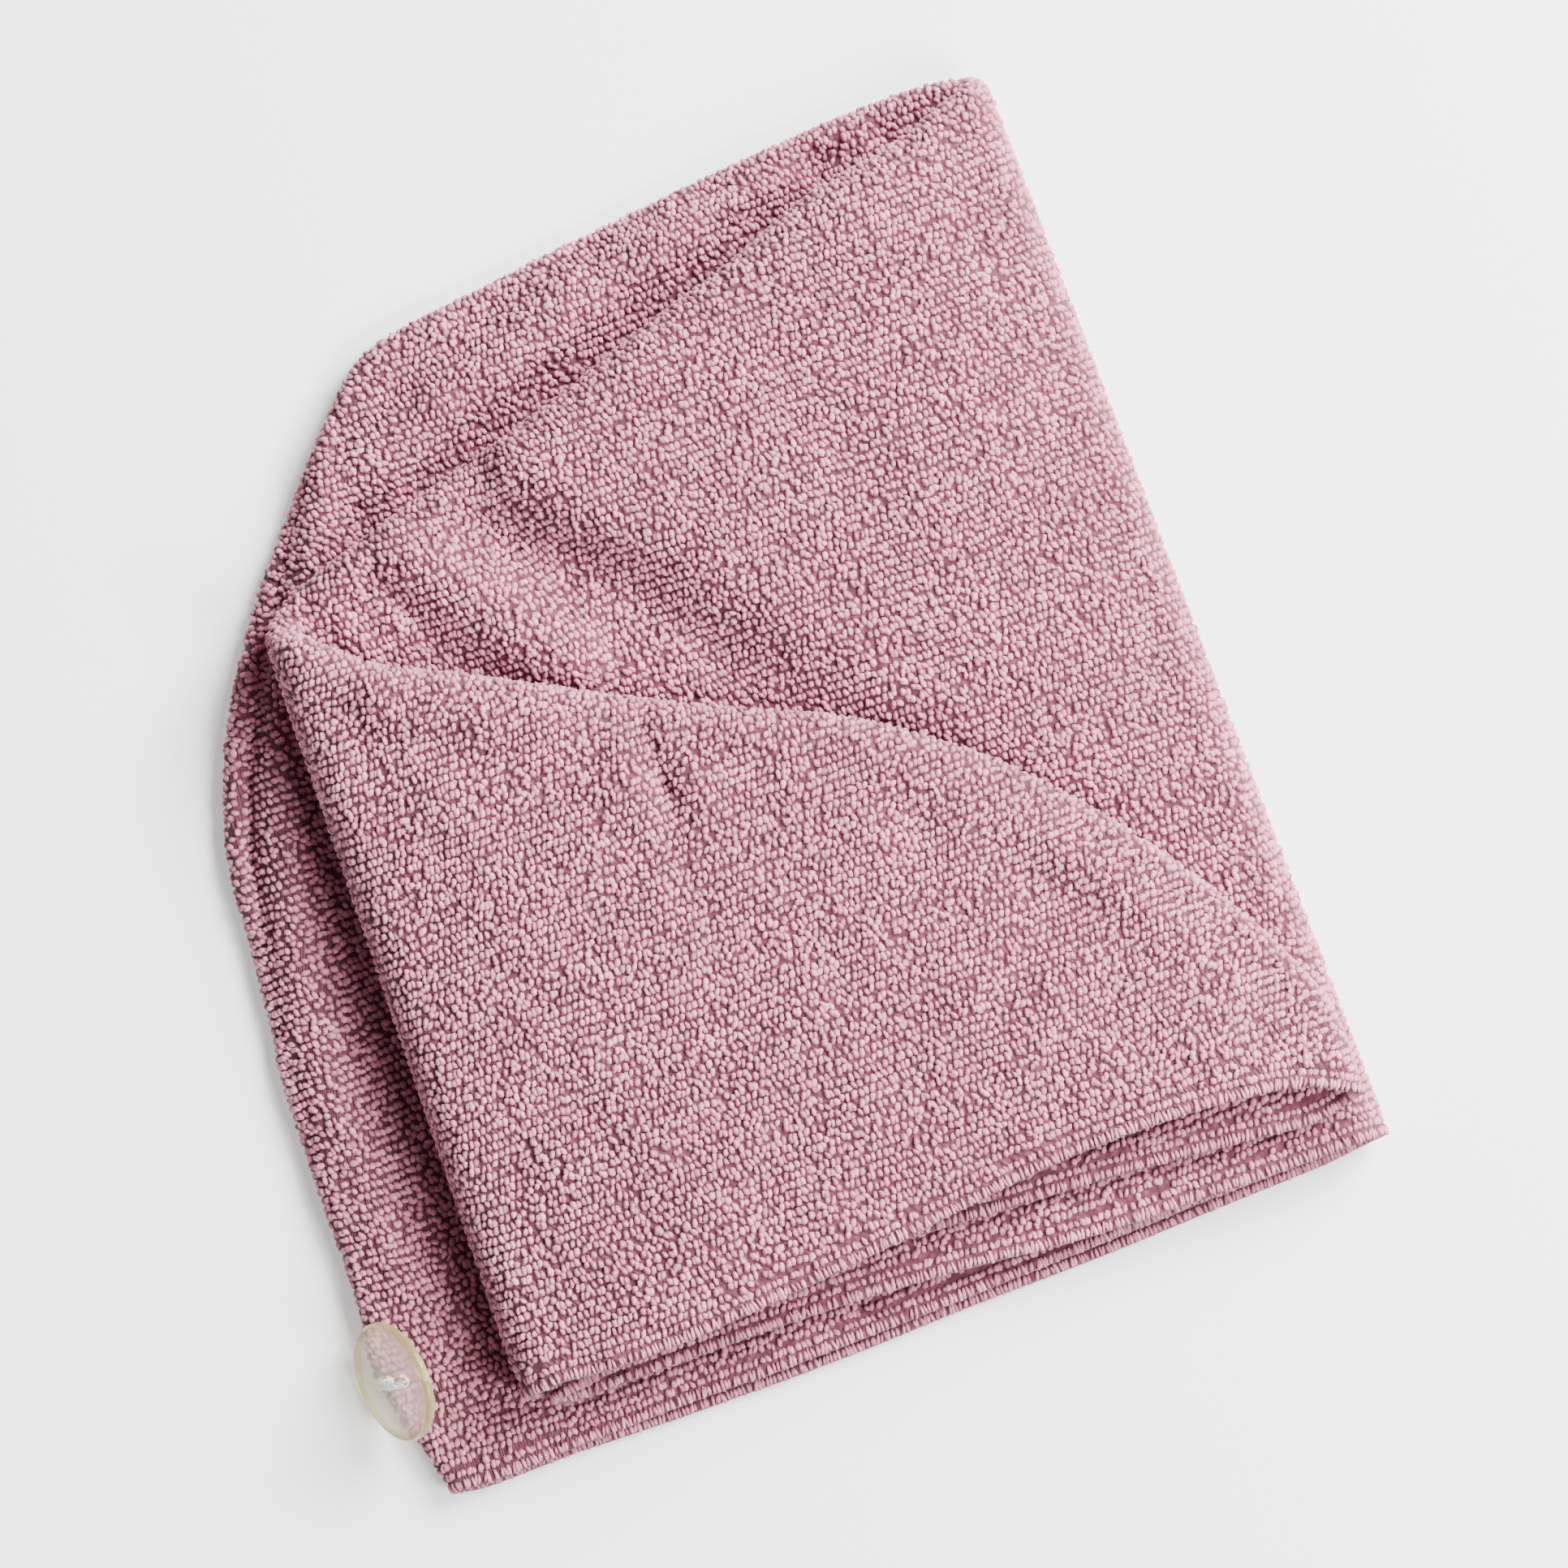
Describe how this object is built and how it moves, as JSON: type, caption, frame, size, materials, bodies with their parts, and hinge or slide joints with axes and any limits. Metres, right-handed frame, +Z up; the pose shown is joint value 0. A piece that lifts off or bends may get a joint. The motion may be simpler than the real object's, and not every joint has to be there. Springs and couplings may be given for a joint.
{
  "type": "hair turban towel",
  "caption": "Looped microfibre hair turban towel, lying folded in three, with a large button at its nape corner.",
  "frame": {"origin": "middle of the folded towel's base, on the surface that it lies on", "axes": "+X along the hem from the button to the right fold, +Y from the hem to the crown, +Z up off the surface"},
  "size_m": [0.2354, 0.2578, 0.0275],
  "materials": {
    "terry": "looped microfibre terry, mauve pink, matt",
    "button": "translucent frosted ivory resin, softly polished",
    "thread": "white sewing thread, several strands"
  },
  "bodies": {
    "root": {"turban_cloth": "terry", "button": "button", "button_thread": "thread"}
  },
  "joints": []
}
